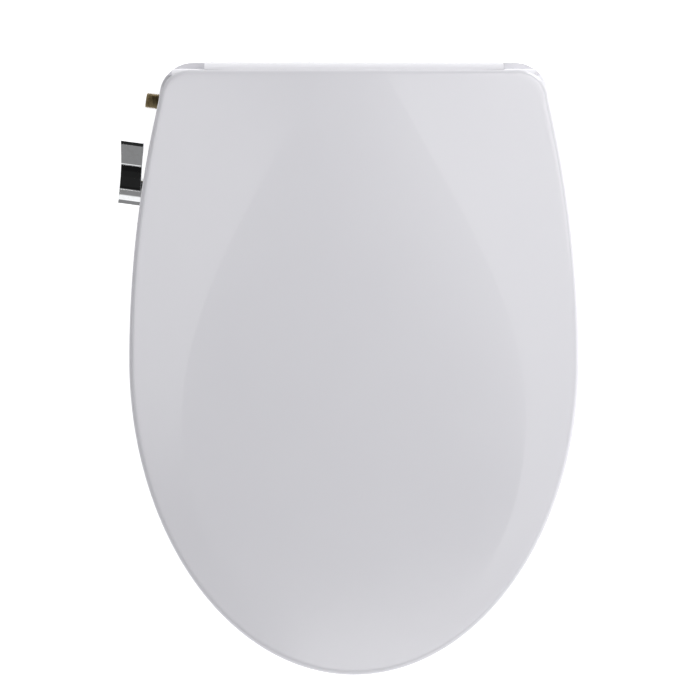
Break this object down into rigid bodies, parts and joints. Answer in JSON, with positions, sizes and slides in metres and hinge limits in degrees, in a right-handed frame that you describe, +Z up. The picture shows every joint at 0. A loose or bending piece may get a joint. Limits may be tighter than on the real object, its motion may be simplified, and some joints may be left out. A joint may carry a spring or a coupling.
{
  "type": "bidet seat",
  "caption": "Lever-operated, non-electric bidet toilet seat with lid, seat ring, water inlet, spray nozzles and a quick-release bowl mounting plate.",
  "frame": {"origin": "midway between the two bowl bolts, on the bowl's top face", "axes": "+Y to the rear, along the seat; +Z up, out of the bowl's top face; the lever is on -X"},
  "size_m": [0.3877, 0.515, 0.0588],
  "materials": {
    "gloss_white": "glossy white",
    "matte_white": "satin white",
    "grey_plastic": "satin grey",
    "soft_rubber": "pale grey rubber",
    "dark_rubber": "black rubber",
    "brass": "machined brass",
    "steel": "stainless",
    "chrome": "polished chrome",
    "hose": "translucent grey hose"
  },
  "bodies": {
    "base": {"base_tray": "gloss_white", "tray_pads": "soft_rubber", "base_cover": "gloss_white", "cover_screws": "steel", "mounting_plate": "matte_white", "plate_mat": "soft_rubber", "bolt_inserts": "matte_white", "latch_spring": "steel", "valve_body": "brass", "valve_collar": "chrome", "inlet_fitting": "brass", "inlet_filter": "steel", "inlet_bracket": "matte_white", "inlet_hose": "hose", "rear_wash_hose": "hose", "front_wash_hose": "hose", "nozzle_cartridge": "matte_white", "cartridge_screws": "steel", "nozzle_shield": "gloss_white", "barrel_glands": "dark_rubber", "rear_nozzle_spring": "steel", "front_nozzle_spring": "steel", "lid_damper": "grey_plastic", "seat_damper": "grey_plastic"},
    "seat": {"seat_ring": "gloss_white", "seat_bumpers": "soft_rubber", "seat_damper_shaft": "steel"},
    "lid": {"lid": "gloss_white", "lid_barrel": "gloss_white", "lid_bumpers": "soft_rubber", "lid_damper_shaft": "steel"},
    "lever": {"lever": "chrome", "lever_screw": "steel", "valve_spindle": "brass"},
    "rear_nozzle": {"rear_nozzle_tip": "matte_white", "rear_nozzle_tube": "steel", "rear_nozzle_piston": "dark_rubber"},
    "front_nozzle": {"front_nozzle_tip": "matte_white", "front_nozzle_tube": "steel", "front_nozzle_piston": "dark_rubber"},
    "release": {"release_button": "grey_plastic", "latch_bar": "grey_plastic"}
  },
  "joints": [
    {"name": "seat_hinge", "type": "hinge", "parent": "base", "child": "seat", "pos_m": [0, 0.027, 0.0387], "axis": [-1, 0, 0], "range_deg": [0, 100]},
    {"name": "lid_hinge", "type": "hinge", "parent": "seat", "child": "lid", "pos_m": [0, 0.027, 0.0387], "axis": [1, 0, 0], "range_deg": [-105, 0]},
    {"name": "lever_turn", "type": "hinge", "parent": "base", "child": "lever", "pos_m": [-0.175, -0.0628, 0.0152], "axis": [0.9909, -0.1349, 0], "range_deg": [-25, 75]},
    {"name": "rear_nozzle_slide", "type": "slide", "parent": "base", "child": "rear_nozzle", "axis": [0, -0.9744, -0.225], "range_m": [0, 0.06], "stiffness_N_per_m": 15, "springref_m": -0.02, "deforming": ["rear_nozzle_spring"]},
    {"name": "front_nozzle_slide", "type": "slide", "parent": "base", "child": "front_nozzle", "axis": [0, -0.9744, -0.225], "range_m": [0, 0.06], "stiffness_N_per_m": 15, "springref_m": -0.02, "deforming": ["front_nozzle_spring"]},
    {"name": "release_slide", "type": "slide", "parent": "base", "child": "release", "axis": [-1, 0, 0], "range_m": [0, 0.0085], "stiffness_N_per_m": 400, "deforming": ["latch_spring"]}
  ]
}
